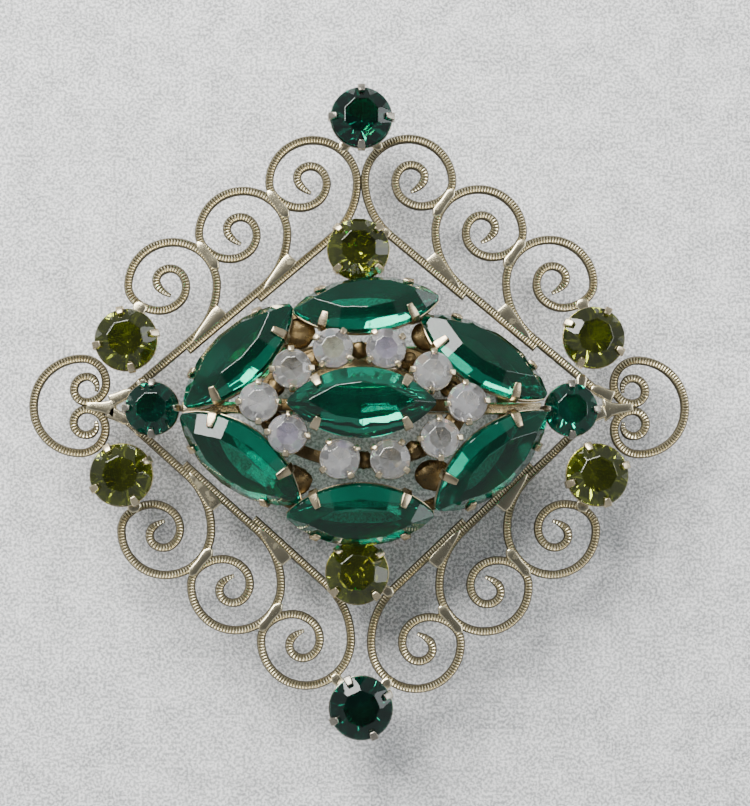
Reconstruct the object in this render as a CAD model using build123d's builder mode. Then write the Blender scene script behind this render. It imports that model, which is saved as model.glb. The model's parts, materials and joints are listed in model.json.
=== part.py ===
# Openwork rhinestone brooch with a pin back.
#
# The brooch lies on its back: +Z points out of the stones towards the viewer,
# +X to the viewer's right and +Y to the brooch's top. The origin is the middle
# of its outline, on the surface that the pin fittings rest on. Millimetres.

import os
from math import atan2, cos, degrees, radians, sin, tan

from build123d import *

os.makedirs("parts", exist_ok=True)

# ---------------------------------------------------------------- driving sizes
GRILLE_Z = 5.0  # underside of the filigree above the table
STRIP_WIDTH = 0.76  # milled strip, seen from above
STRIP_HEIGHT = 1.0  # the same strip, seen from the side

# one C-scroll: radius and sweep of each arc, from the rim in to the spiral's eye
SCROLL_ARCS = [
    (4.53, 180), (2.2, 45), (3.55, 45), (2.95, 45), (2.3, 45), (2.05, 45), (1.5, 90), (1.15, 90),
    (2.8, 25),
]
TAIL_RADIUS = 7.5  # bend where the scroll leaves the rail
TAIL_SWEEP = 48.5
TAIL_LENGTH = 9.9  # straight run of the tail along the rail
LAST_TAIL_LENGTH = 9.0
FIRST_SCROLL = (5.28, 23.58)  # rim centre of the scroll nearest the top
SCROLL_PITCH = (7.12, -5.48)
SCROLL_COUNT = 3
WEB_WIDTH = 1.0  # cast web that ties a scroll to its neighbour
PANEL_TRIM_X = 24.9  # the panels stop here, against the end scrolls
CORNER_CUTTER = 6.0
CUTTER_DEPTH = 2.0  # more than the strip's height

# each panel's side, and how far it was soldered out from the mean place, across, up and turned
PANEL_MIDDLE = (12.4, 18.1, 0)
PANELS = {
    "filigree_upper_right": (1, 1, -0.2, 0.35, 1.7),
    "filigree_upper_left": (-1, 1, -0.28, 0.03, 0.7),
    "filigree_lower_left": (-1, -1, 0.2, -0.3, -0.4),
    "filigree_lower_right": (1, -1, 0.1, -0.15, -2.0),
}

# the ram's-horn scroll at each side corner
END_CENTRE = (28.45, 0.35)
END_RIM_RADIUS = 4.9
END_ARCS = [(2.5, 90), (1.95, 90), (1.3, 180), (1.0, 110)]
END_LEAF_BASE = 2.0  # the leaf between the horns, wide at the corner and narrow inside
END_LEAF_TIP = 1.1
END_LEAF_SHORT = 0.6  # the leaf stops this far short of the rim's centre

# stones: girdle radius, or half length and half width
SS29 = 3.1
SS24 = 2.65
SS16 = 1.95
NAVETTE_HALF_LENGTH = 7.5
NAVETTE_HALF_WIDTH = 3.5
NAVETTE_TIP = 7.3  # the points are cut off a little
ROUND_GIRDLE = 0.3
ROUND_CROWN_ANGLE = 37.0
ROUND_PAVILION_ANGLE = 40.0
ROUND_TABLE = 0.55  # table radius as a share of the girdle's
NAVETTE_GIRDLE = 0.4
NAVETTE_CROWN_ANGLE = 40.0
NAVETTE_CROWN_HEIGHT = 1.45
NAVETTE_PAVILION_ANGLE = 31.0
NAVETTE_CROWN_AZIMUTHS = (-47, -28, -8, 8, 28, 47)
NAVETTE_PAVILION_AZIMUTHS = (-42, -14, 14, 42)
NAVETTE_PRONG_AZIMUTHS = (-28, 28)

# settings
CLEARANCE = 0.03  # between a stone and its claws
CLAW_THICKNESS = 0.32
CUP_WALL = 0.3
CUP_BASE = 0.78  # base radius as a share of the stone's
CUP_STRAIGHT = 0.9  # height of the straight part at the base
CUP_DEPTH_SHARE = 0.9  # depth under the girdle as a share of the radius
LIP_DROP = 0.35  # the cup's rim stops this far under the girdle
NAVETTE_LIP_DROP = 0.5
LIP_OUT = 0.06  # the rim's outer and inner edges, from the girdle's line
LIP_IN = 0.15
CLAW_FOOT = 0.45  # how far a claw's foot reaches in under the girdle
NAVETTE_CLAW_FOOT = 0.95
CLAW_FOOT_DROP = 1.25  # and how far down
NAVETTE_CLAW_WIDTH = 0.9
NAVETTE_GRIP = 1.3  # how far a claw folds over the crown
NAVETTE_CUP_DEPTH = 2.5
NAVETTE_BASE_HALF_LENGTH = 5.4
NAVETTE_BASE_HALF_WIDTH = 1.9
NAVETTE_RIM_HALF_WIDTH = 3.45
BASE_WALL = 0.4
POINT_WALL = 0.5

# round stones: place across and up, base height, and turn about their own axis
OLIVES = {
    "top": (-0.3, 16.3, GRILLE_Z, 45),
    "bottom": (-0.4, -16.6, GRILLE_Z, 40),
    "upper_left": (-23.8, 6.9, GRILLE_Z, 12),
    "lower_left": (-24.1, -6.8, GRILLE_Z, 28),
    "upper_right": (23.7, 7.3, GRILLE_Z, 62),
    "lower_right": (23.9, -6.7, GRILLE_Z, 18),
}
EMERALDS = {
    "top": (0.0, 30.0, GRILLE_Z, 0),
    "bottom": (0.0, -30.0, GRILLE_Z, 25),
}
SIDE_EMERALDS = {
    "left": (-21.1, -0.1, GRILLE_Z + 0.6, 0),
    "right": (21.3, -0.1, GRILLE_Z + 0.6, 0),
}
CRYSTAL_GIRDLE_Z = GRILLE_Z + 7.9
CRYSTALS = [
    (-2.9, 5.45, 58),
    (2.35, 5.45, 36),
    (6.95, 3.2, -4),
    (10.35, 0.1, 5),
    (7.65, -3.45, 2),
    (2.75, -5.5, 55),
    (-2.2, -5.5, 33),
    (-7.35, -3.05, 85),
    (-10.2, 0.1, 0),
    (-6.95, 3.4, 2),
]

# navettes: place across and up, and heading of the long axis
CENTRE_NAVETTE_X = -0.1
CENTRE_NAVETTE_Z = GRILLE_Z + 8.8
OUTER_NAVETTE_Z = GRILLE_Z + 5.2
OUTER_TILT = 34.0
OUTER_NAVETTES = {
    "top": (0.45, 10.25, 5.5),
    "upper_right": (12.3, 4.95, -32.6),
    "lower_right": (12.95, -5.45, 41.6),
    "bottom": (-0.15, -10.9, 0.5),
    "lower_left": (-12.1, -5.3, -36.3),
    "upper_left": (-12.35, 5.0, 44.0),
}

# frame under the cluster
HOOP_CENTRE = (0.2, -0.3)
HOOP_RADII = (14.4, 10.7)
HOOP_WIDTH = 1.2
HOOP_HEIGHT = 2.0
BAR_WIDTH = 1.2
BAR_HEIGHT = 1.0
CRADLE_RADII = (10.0, 5.7)
CRADLE_WIDTH = 1.2
CRADLE_HEIGHT = 1.2
CRADLE_POST_X = 9.6
SPINE_HALF_LENGTH = 5.3

# pin back
PIN_Y = 5.0
PIN_AXIS_Z = 2.3
PIN_BAR_LENGTH = 30.0
PIN_BAR_WIDTH = 3.4
PIN_BAR_THICKNESS = 0.6
HINGE_X = -12.4
EAR_THICKNESS = 0.5
EAR_GAP = 1.8
EAR_LENGTH = 3.0
EAR_CORNER_RADIUS = 0.7
EAR_PAD_THICKNESS = 0.5
RIVET_RADIUS = 0.5
RIVET_HEAD_RADIUS = 0.8
RIVET_HEAD_HEIGHT = 0.25
RIVET_RUNNING_GAP = 0.05
EYE_RADIUS = 1.1
EYE_WIDTH = 1.6
STEM_RADIUS = 0.5
STEM_TIP_X = 15.0
STEM_POINT_LENGTH = 2.6
STEM_POINT_RADIUS = 0.08
CATCH_X = 12.1
CATCH_LENGTH = 3.8
FLANGE_THICKNESS = 0.6
FLANGE_WIDTH = 3.4
FLANGE_CORNER_RADIUS = 0.9
CATCH_PAD_THICKNESS = 0.3
TUBE_BORE_RADIUS = 0.75
TUBE_RADIUS = 1.15
LOCK_BORE_RADIUS = 1.2
LOCK_RADIUS = 1.7
LOCK_LENGTH = 2.5
SLOT_WIDTH = 1.4
LOCK_SLOT_WIDTH = 1.6
TAB_REACH = 2.25
TAB_ANGLE = 200.0
TAB_THICKNESS = 0.6
TAB_WIDTH = 1.2

FIT = 0.02  # soldered faces stand this far apart
PIN_BAR_Z = GRILLE_Z - PIN_BAR_THICKNESS


def save(piece, name):
    piece.part.label = name
    export_step(piece.part, f"parts/{name}.step")


# ---------------------------------------------------------------- filigree
with BuildSketch() as scroll_strip:
    with BuildLine():
        rim = (-SCROLL_ARCS[0][0], 0)
        JernArc(start=rim, tangent=(0, -1), radius=TAIL_RADIUS, arc_size=TAIL_SWEEP)
        point, heading = rim, (0, 1)
        for radius, sweep in SCROLL_ARCS:
            arc = JernArc(start=point, tangent=heading, radius=radius, arc_size=-sweep)
            point, heading = arc @ 1, arc % 1
    trace(line_width=STRIP_WIDTH)

tail_direction = Vector(0, -1).rotate(Axis.Z, TAIL_SWEEP)
tail_start = Vector(
    TAIL_RADIUS - SCROLL_ARCS[0][0] - TAIL_RADIUS * cos(radians(TAIL_SWEEP)),
    -TAIL_RADIUS * sin(radians(TAIL_SWEEP)),
)
scroll_centres = [
    Vector(FIRST_SCROLL[0] + n * SCROLL_PITCH[0], FIRST_SCROLL[1] + n * SCROLL_PITCH[1])
    for n in range(SCROLL_COUNT)
]

# webs of the upper right panel that tie a scroll to the next, from the first scroll's centre
scroll_webs = [((2.9, -3.2), (4.4, -1.2)), ((2.4, -8.2), (4.6, -10.9))]
# and its other webs: from a point on a strip to the piece it holds
panel_webs = [
    ((2.43, 26.99), (0.9, 28.9)),  # first scroll to the top emerald
    ((2.67, 18.39), (1.0, 17.1)),  # first tail to the top olive
    ((22.79, 10.16), (23.5, 8.2)),  # last scroll to the corner olive
    ((22.5, 2.9), (22.2, 1.4)),  # last tail to the side emerald
    ((24.1, 0.85), (25.6, 0.6)),  # last tail to the end scroll
]

with BuildPart() as quarter_panel:
    with BuildSketch(Plane.XY.offset(GRILLE_Z)):
        with Locations(*scroll_centres):
            add(scroll_strip.sketch)
        for n, centre in enumerate(scroll_centres):
            start = centre + tail_start
            run = LAST_TAIL_LENGTH if n == SCROLL_COUNT - 1 else TAIL_LENGTH
            with BuildLine():
                Line(start, start + tail_direction * run)
            trace(line_width=STRIP_WIDTH)
        for centre in scroll_centres[:-1]:
            for start, end in scroll_webs:
                with BuildLine():
                    Line(centre + Vector(*start), centre + Vector(*end))
                trace(line_width=WEB_WIDTH)
        for start, end in panel_webs:
            with BuildLine():
                Line(start, end)
            trace(line_width=WEB_WIDTH)
    extrude(amount=STRIP_HEIGHT)

cup_feet = [(SS29, place) for place in OLIVES.values()]
cup_feet += [(SS29, place) for place in EMERALDS.values()]
cup_feet += [(SS24, place) for place in SIDE_EMERALDS.values()]

panel_middle = Location(PANEL_MIDDLE)
for name, (side_x, side_y, out_x, out_y, turn) in PANELS.items():
    with BuildPart() as panel:
        soldered = Location((out_x, out_y, 0), (0, 0, turn))
        with Locations(panel_middle * soldered * panel_middle.inverse()):
            add(quarter_panel.part)
        if side_x < 0:
            mirror(about=Plane.YZ, mode=Mode.REPLACE)
        if side_y < 0:
            mirror(about=Plane.XZ, mode=Mode.REPLACE)
        for stone_radius, (x, y, base_z, turn) in cup_feet:
            with Locations((x, y, GRILLE_Z)):
                Cylinder(CUP_BASE * stone_radius + FIT, 2 * CUTTER_DEPTH, mode=Mode.SUBTRACT)
        with Locations((side_x * (PANEL_TRIM_X + CORNER_CUTTER / 2), 0, GRILLE_Z)):
            Box(CORNER_CUTTER, CORNER_CUTTER, 2 * CUTTER_DEPTH, mode=Mode.SUBTRACT)
    save(panel, name)

# the end scroll is drawn for the right corner, its two horns facing the stones
with BuildPart() as end_scroll:
    with BuildSketch(Plane.XY.offset(GRILLE_Z)):
        for side in (1, -1):
            with BuildLine():
                point = (END_CENTRE[0] + END_RIM_RADIUS, END_CENTRE[1])
                arc = JernArc(start=point, tangent=(0, side), radius=END_RIM_RADIUS, arc_size=side * 90)
                for radius, sweep in END_ARCS:
                    arc = JernArc(start=arc @ 1, tangent=arc % 1, radius=radius, arc_size=side * sweep)
            trace(line_width=STRIP_WIDTH)
        with BuildLine():
            leaf_tip_x = END_CENTRE[0] - END_LEAF_SHORT
            Polyline(
                (PANEL_TRIM_X + FIT, END_LEAF_BASE / 2),
                (leaf_tip_x, END_CENTRE[1] + END_LEAF_TIP / 2),
                (leaf_tip_x, END_CENTRE[1] - END_LEAF_TIP / 2),
                (PANEL_TRIM_X + FIT, -END_LEAF_BASE / 2),
                close=True,
            )
        make_face()
    extrude(amount=STRIP_HEIGHT)
save(end_scroll, "scroll_end_right")

with BuildPart() as end_scroll_left:
    add(end_scroll.part)
    mirror(about=Plane.YZ, mode=Mode.REPLACE)
save(end_scroll_left, "scroll_end_left")


# ---------------------------------------------------------------- stones
def facet(distance, azimuth, angle, girdle, up):
    """Plane that leans over the girdle at an azimuth, above it or below it."""
    out = Vector(cos(radians(azimuth)), sin(radians(azimuth)))
    origin = out * distance + Vector(0, 0, up * girdle / 2)
    normal = out * sin(radians(angle)) + Vector(0, 0, up * cos(radians(angle)))
    return Plane(origin=origin, z_dir=normal)


def round_stone(radius):
    """Foiled chaton: octagonal table, eight crown facets and eight below."""
    crown_height = (1 - ROUND_TABLE) * radius * tan(radians(ROUND_CROWN_ANGLE))
    depth = radius * tan(radians(ROUND_PAVILION_ANGLE))
    with BuildPart() as stone:
        with BuildSketch(Plane.XY.offset(-ROUND_GIRDLE / 2 - depth)):
            Circle(radius)
        extrude(amount=depth + ROUND_GIRDLE + crown_height)
        for k in range(8):
            over = facet(radius, 45 * k, ROUND_CROWN_ANGLE, ROUND_GIRDLE, 1)
            split(bisect_by=over, keep=Keep.BOTTOM)
            under = facet(radius, 45 * k, ROUND_PAVILION_ANGLE, ROUND_GIRDLE, -1)
            split(bisect_by=under, keep=Keep.BOTTOM)
    return stone.part


def navette_outline(half_length, half_width, height):
    """Pointed oval of two arcs, at a height."""
    with BuildSketch(Plane.XY.offset(height)) as outline:
        with BuildLine():
            ThreePointArc((-half_length, 0), (0, half_width), (half_length, 0))
            ThreePointArc((half_length, 0), (0, -half_width), (-half_length, 0))
        make_face()
    return outline.sketch


ARC_RADIUS = (NAVETTE_HALF_LENGTH**2 + NAVETTE_HALF_WIDTH**2) / (2 * NAVETTE_HALF_WIDTH)


def navette_reach(angle_off_side):
    """Distance from the middle to the outline's tangent at an angle off the side."""
    offset = ARC_RADIUS - NAVETTE_HALF_WIDTH
    return ARC_RADIUS - offset * cos(radians(angle_off_side))


def navette_stone():
    """Unfoiled navette: long table, side and point facets, keeled back."""
    depth = NAVETTE_HALF_WIDTH * tan(radians(NAVETTE_PAVILION_ANGLE))
    outline = navette_outline(NAVETTE_HALF_LENGTH, NAVETTE_HALF_WIDTH, -NAVETTE_GIRDLE / 2 - depth)
    with BuildPart() as stone:
        extrude(outline, amount=depth + NAVETTE_GIRDLE + NAVETTE_CROWN_HEIGHT)
        for side in (90, 270):
            for off in NAVETTE_CROWN_AZIMUTHS:
                over = facet(navette_reach(off), side + off, NAVETTE_CROWN_ANGLE, NAVETTE_GIRDLE, 1)
                split(bisect_by=over, keep=Keep.BOTTOM)
            for off in NAVETTE_PAVILION_AZIMUTHS:
                under = facet(navette_reach(off), side + off, NAVETTE_PAVILION_ANGLE, NAVETTE_GIRDLE, -1)
                split(bisect_by=under, keep=Keep.BOTTOM)
        for end in (0, 180):
            split(bisect_by=facet(NAVETTE_TIP, end, 90, 0, 1), keep=Keep.BOTTOM)
    return stone.part


# ---------------------------------------------------------------- settings
def claw_profile(foot, azimuth, angle, girdle, grip, foot_in):
    """Side view of a claw that rises outside the girdle at foot and folds over the crown."""
    out = (cos(radians(azimuth)), sin(radians(azimuth)), 0)
    across = (sin(radians(azimuth)), -cos(radians(azimuth)), 0)
    lean, rise = cos(radians(angle)), sin(radians(angle))
    inner = CLEARANCE
    outer = CLEARANCE + CLAW_THICKNESS
    shoulder = girdle / 2 + CLEARANCE
    tip = (inner - grip * lean, shoulder + grip * rise)
    elbow = shoulder + CLAW_THICKNESS * (lean - (1 - rise) * rise / lean)
    with BuildSketch(Plane(origin=foot, x_dir=out, z_dir=across)) as profile:
        with BuildLine():
            Polyline(
                (-foot_in, -CLAW_FOOT_DROP),
                (-CLEARANCE, -girdle / 2 - LIP_DROP),
                (inner, -girdle / 2 - LIP_DROP / 2),
                (inner, shoulder),
                tip,
                (tip[0] + CLAW_THICKNESS * rise, tip[1] + CLAW_THICKNESS * lean),
                (outer, elbow),
                (outer, -girdle / 2 - LIP_DROP),
                (-foot_in / 3, -CLAW_FOOT_DROP - CLAW_THICKNESS / 2),
                close=True,
            )
        make_face()
    return profile.sketch


def cup_depth(radius):
    return CUP_DEPTH_SHARE * radius


def round_setting(radius, claw_width, grip):
    """Open-backed chaton cup with four claws on the axes."""
    base = CUP_BASE * radius
    floor = -cup_depth(radius)
    lip = -ROUND_GIRDLE / 2 - LIP_DROP
    with BuildPart() as setting:
        with BuildSketch(Plane.XZ):
            with BuildLine():
                Polyline(
                    (base, floor),
                    (base, floor + CUP_STRAIGHT),
                    (radius + LIP_OUT, lip),
                    (radius - LIP_IN, lip),
                    (base - CUP_WALL, floor + CUP_STRAIGHT),
                    (base - CUP_WALL, floor),
                    close=True,
                )
            make_face()
        revolve(axis=Axis.Z)
        for azimuth in (0, 90, 180, 270):
            foot = (radius * cos(radians(azimuth)), radius * sin(radians(azimuth)), 0)
            profile = claw_profile(foot, azimuth, ROUND_CROWN_ANGLE, ROUND_GIRDLE, grip, CLAW_FOOT)
            extrude(profile, amount=claw_width / 2, both=True)
    return setting.part


def navette_setting():
    """Open-backed navette cup with four claws near the points."""
    lip = -NAVETTE_GIRDLE / 2 - NAVETTE_LIP_DROP
    floor = -NAVETTE_CUP_DEPTH
    foot_length, foot_width = NAVETTE_BASE_HALF_LENGTH, NAVETTE_BASE_HALF_WIDTH
    with BuildPart() as setting:
        base = navette_outline(foot_length, foot_width, floor)
        rim = navette_outline(NAVETTE_TIP, NAVETTE_RIM_HALF_WIDTH, lip)
        loft([base, rim])
        base = navette_outline(foot_length - POINT_WALL, foot_width - BASE_WALL, floor)
        rim = navette_outline(NAVETTE_TIP - BASE_WALL, NAVETTE_RIM_HALF_WIDTH - CUP_WALL, lip)
        loft([base, rim], mode=Mode.SUBTRACT)
        for side in (90, 270):
            for off in NAVETTE_PRONG_AZIMUTHS:
                azimuth = side + off
                out = Vector(cos(radians(azimuth)), sin(radians(azimuth)))
                arc_middle = Vector(0, (NAVETTE_HALF_WIDTH - ARC_RADIUS) * (1 if side == 90 else -1))
                profile = claw_profile(
                    arc_middle + out * ARC_RADIUS,
                    azimuth,
                    NAVETTE_CROWN_ANGLE,
                    NAVETTE_GIRDLE,
                    NAVETTE_GRIP,
                    NAVETTE_CLAW_FOOT,
                )
                extrude(profile, amount=NAVETTE_CLAW_WIDTH / 2, both=True)
    return setting.part


stone_ss29 = round_stone(SS29)
stone_ss24 = round_stone(SS24)
stone_ss16 = round_stone(SS16)
stone_navette = navette_stone()
setting_ss29 = round_setting(SS29, claw_width=0.75, grip=0.8)
setting_ss24 = round_setting(SS24, claw_width=0.7, grip=0.7)
setting_ss16 = round_setting(SS16, claw_width=0.6, grip=0.45)
setting_navette = navette_setting()


def place_pair(stone, setting, location, stone_name, setting_name):
    for shape, name in ((stone, stone_name), (setting, setting_name)):
        with BuildPart() as piece:
            with Locations(location):
                add(shape)
        save(piece, name)


for where, (x, y, base_z, turn) in OLIVES.items():
    spot = Location((x, y, base_z + cup_depth(SS29)), (0, 0, turn))
    place_pair(stone_ss29, setting_ss29, spot, f"olive_stone_{where}", f"olive_setting_{where}")

for where, (x, y, base_z, turn) in EMERALDS.items():
    spot = Location((x, y, base_z + cup_depth(SS29)), (0, 0, turn))
    place_pair(stone_ss29, setting_ss29, spot, f"emerald_stone_{where}", f"emerald_setting_{where}")

for where, (x, y, base_z, turn) in SIDE_EMERALDS.items():
    spot = Location((x, y, base_z + cup_depth(SS24)), (0, 0, turn))
    place_pair(stone_ss24, setting_ss24, spot, f"emerald_stone_{where}", f"emerald_setting_{where}")

spot = Location((CENTRE_NAVETTE_X, 0, CENTRE_NAVETTE_Z))
place_pair(stone_navette, setting_navette, spot, "navette_stone_centre", "navette_setting_centre")

for where, (x, y, heading) in OUTER_NAVETTES.items():
    along = Vector(cos(radians(heading)), sin(radians(heading)))
    outward = Vector(-along.Y, along.X)
    if outward.dot(Vector(x, y)) < 0:
        outward = outward * -1
    normal = outward * sin(radians(OUTER_TILT)) + Vector(0, 0, cos(radians(OUTER_TILT)))
    spot = Plane(origin=(x, y, OUTER_NAVETTE_Z), x_dir=along, z_dir=normal).location
    place_pair(stone_navette, setting_navette, spot, f"navette_stone_{where}", f"navette_setting_{where}")

crystal_spots = [Location((x, y, CRYSTAL_GIRDLE_Z), (0, 0, turn)) for x, y, turn in CRYSTALS]
for number, spot in enumerate(crystal_spots, start=1):
    with BuildPart() as crystal:
        with Locations(spot):
            add(stone_ss16)
    save(crystal, f"crystal_stone_{number:02d}")

with BuildPart() as crystal_settings:
    with Locations(*crystal_spots):
        add(setting_ss16)
save(crystal_settings, "crystal_settings")

# ---------------------------------------------------------------- cluster frame
bar_z = GRILLE_Z + HOOP_HEIGHT
cradle_top = CRYSTAL_GIRDLE_Z - cup_depth(SS16) - FIT
cradle_z = cradle_top - CRADLE_HEIGHT
spine_top = CENTRE_NAVETTE_Z - NAVETTE_CUP_DEPTH - FIT

with BuildPart() as hoop:
    with BuildSketch(Plane.XY.offset(GRILLE_Z)):
        with Locations(HOOP_CENTRE):
            Ellipse(HOOP_RADII[0] + HOOP_WIDTH / 2, HOOP_RADII[1] + HOOP_WIDTH / 2)
            Ellipse(HOOP_RADII[0] - HOOP_WIDTH / 2, HOOP_RADII[1] - HOOP_WIDTH / 2, mode=Mode.SUBTRACT)
    extrude(amount=HOOP_HEIGHT)
save(hoop, "cluster_hoop")

with BuildPart() as cross_bar:
    left_end = SIDE_EMERALDS["left"][0] + SS24 + CLEARANCE + CLAW_THICKNESS + FIT
    right_end = SIDE_EMERALDS["right"][0] - SS24 - CLEARANCE - CLAW_THICKNESS - FIT
    with BuildSketch(Plane.XY.offset(bar_z)):
        with Locations(((left_end + right_end) / 2, 0)):
            Rectangle(right_end - left_end, BAR_WIDTH)
    extrude(amount=BAR_HEIGHT)
save(cross_bar, "cross_bar")

with BuildPart() as cradle:
    with BuildSketch(Plane.XY.offset(cradle_z)):
        Ellipse(CRADLE_RADII[0] + CRADLE_WIDTH / 2, CRADLE_RADII[1] + CRADLE_WIDTH / 2)
        Ellipse(CRADLE_RADII[0] - CRADLE_WIDTH / 2, CRADLE_RADII[1] - CRADLE_WIDTH / 2, mode=Mode.SUBTRACT)
        Rectangle(2 * CRADLE_RADII[0], BAR_WIDTH)
    extrude(amount=CRADLE_HEIGHT)
    with BuildSketch(Plane.XY.offset(cradle_top)):
        Rectangle(2 * SPINE_HALF_LENGTH, BAR_WIDTH)
    extrude(amount=spine_top - cradle_top)
    with BuildSketch(Plane.XY.offset(bar_z + BAR_HEIGHT)):
        with Locations((-CRADLE_POST_X, 0), (CRADLE_POST_X, 0)):
            Rectangle(BAR_WIDTH, BAR_WIDTH)
    extrude(amount=cradle_z - bar_z - BAR_HEIGHT)
save(cradle, "cluster_cradle")

# ---------------------------------------------------------------- pin back
with BuildPart() as pin_bar:
    with BuildSketch(Plane.XY.offset(PIN_BAR_Z)):
        with Locations((0, PIN_Y)):
            SlotOverall(PIN_BAR_LENGTH, PIN_BAR_WIDTH)
    extrude(amount=PIN_BAR_THICKNESS)
save(pin_bar, "pin_bar")

ear_spread = (EAR_GAP + EAR_THICKNESS) / 2
ear_plane = Plane(origin=(HINGE_X, PIN_Y, PIN_AXIS_Z), x_dir=(1, 0, 0), z_dir=(0, -1, 0))
with BuildPart() as pin_joint:
    for side in (-1, 1):
        with BuildSketch(ear_plane.offset(side * ear_spread)):
            with Locations((0, PIN_BAR_Z / 2 - PIN_AXIS_Z)):
                RectangleRounded(EAR_LENGTH, PIN_BAR_Z, EAR_CORNER_RADIUS)
            with Locations((0, PIN_BAR_Z * 0.75 - PIN_AXIS_Z)):
                Rectangle(EAR_LENGTH, PIN_BAR_Z / 2)
            Circle(RIVET_RADIUS, mode=Mode.SUBTRACT)
        extrude(amount=EAR_THICKNESS / 2, both=True)
    with BuildSketch(Plane.XY.offset(PIN_BAR_Z)):
        with Locations((HINGE_X, PIN_Y)):
            Rectangle(EAR_LENGTH, EAR_GAP + 2 * EAR_THICKNESS)
    extrude(amount=-EAR_PAD_THICKNESS)
save(pin_joint, "pin_joint")

with BuildPart() as hinge_rivet:
    half_span = EAR_GAP / 2 + EAR_THICKNESS
    with BuildSketch(ear_plane):
        Circle(RIVET_RADIUS)
    extrude(amount=half_span + FIT, both=True)
    for side in (-1, 1):
        with BuildSketch(ear_plane.offset(side * (half_span + FIT))):
            Circle(RIVET_HEAD_RADIUS)
        extrude(amount=side * RIVET_HEAD_HEIGHT)
save(hinge_rivet, "hinge_rivet")

with BuildPart() as pin_stem:
    with BuildSketch(ear_plane):
        Circle(EYE_RADIUS)
    extrude(amount=EYE_WIDTH / 2, both=True)
    with BuildSketch(Plane.YZ.offset(HINGE_X)):
        with Locations((PIN_Y, PIN_AXIS_Z)):
            Circle(STEM_RADIUS)
    extrude(amount=STEM_TIP_X - STEM_POINT_LENGTH - HINGE_X)
    with BuildSketch(Plane.YZ.offset(STEM_TIP_X - STEM_POINT_LENGTH)):
        with Locations((PIN_Y, PIN_AXIS_Z)):
            Circle(STEM_RADIUS)
    point_taper = degrees(atan2(STEM_RADIUS - STEM_POINT_RADIUS, STEM_POINT_LENGTH))
    extrude(amount=STEM_POINT_LENGTH, taper=point_taper)
    with BuildSketch(ear_plane):
        Circle(RIVET_RADIUS + RIVET_RUNNING_GAP)
    extrude(amount=EYE_WIDTH, both=True, mode=Mode.SUBTRACT)
save(pin_stem, "pin_stem")

catch_start = CATCH_X - CATCH_LENGTH / 2
catch_plane = Plane.YZ.offset(catch_start)
with BuildPart() as catch:
    with BuildSketch(catch_plane, catch_plane.offset(CATCH_LENGTH - FLANGE_THICKNESS)):
        with Locations((PIN_Y, PIN_BAR_Z / 2)):
            RectangleRounded(FLANGE_WIDTH, PIN_BAR_Z, FLANGE_CORNER_RADIUS)
        with Locations((PIN_Y, PIN_BAR_Z * 0.75)):
            Rectangle(FLANGE_WIDTH, PIN_BAR_Z / 2)
    extrude(amount=FLANGE_THICKNESS)
    with BuildSketch(catch_plane):
        with Locations((PIN_Y, PIN_AXIS_Z)):
            Circle(TUBE_RADIUS)
        with Locations((PIN_Y, PIN_BAR_Z - CATCH_PAD_THICKNESS / 2)):
            Rectangle(FLANGE_WIDTH, CATCH_PAD_THICKNESS)
    extrude(amount=CATCH_LENGTH)
    with BuildSketch(catch_plane):
        with Locations((PIN_Y, PIN_AXIS_Z)):
            Circle(TUBE_BORE_RADIUS)
        with Locations((PIN_Y, 0)):
            Rectangle(SLOT_WIDTH, 2 * PIN_AXIS_Z)
    extrude(amount=CATCH_LENGTH, mode=Mode.SUBTRACT)
save(catch, "catch")

lock_plane = Plane(
    origin=(CATCH_X - LOCK_LENGTH / 2, PIN_Y, PIN_AXIS_Z), x_dir=(0, 1, 0), z_dir=(1, 0, 0)
)
with BuildPart() as safety_lock:
    with BuildSketch(lock_plane):
        Circle(LOCK_RADIUS)
    extrude(amount=LOCK_LENGTH)
    with BuildSketch(lock_plane.offset((LOCK_LENGTH - TAB_WIDTH) / 2)):
        with Locations(Rot(0, 0, TAB_ANGLE) * Pos((LOCK_BORE_RADIUS + TAB_REACH) / 2, 0)):
            Rectangle(TAB_REACH - LOCK_BORE_RADIUS, TAB_THICKNESS)
    extrude(amount=TAB_WIDTH)
    with BuildSketch(lock_plane):
        Circle(LOCK_BORE_RADIUS)
        with Locations((0, -LOCK_RADIUS)):
            Rectangle(LOCK_SLOT_WIDTH, 2 * LOCK_RADIUS)
    extrude(amount=LOCK_LENGTH, mode=Mode.SUBTRACT)
save(safety_lock, "safety_lock")
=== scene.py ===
# Openwork rhinestone brooch with a pin back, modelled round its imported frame.
#
# The brooch lies on its back. Pieces are modelled in millimetres, in the frame's
# own axes, and scaled down to metres when they are finished.

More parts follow.
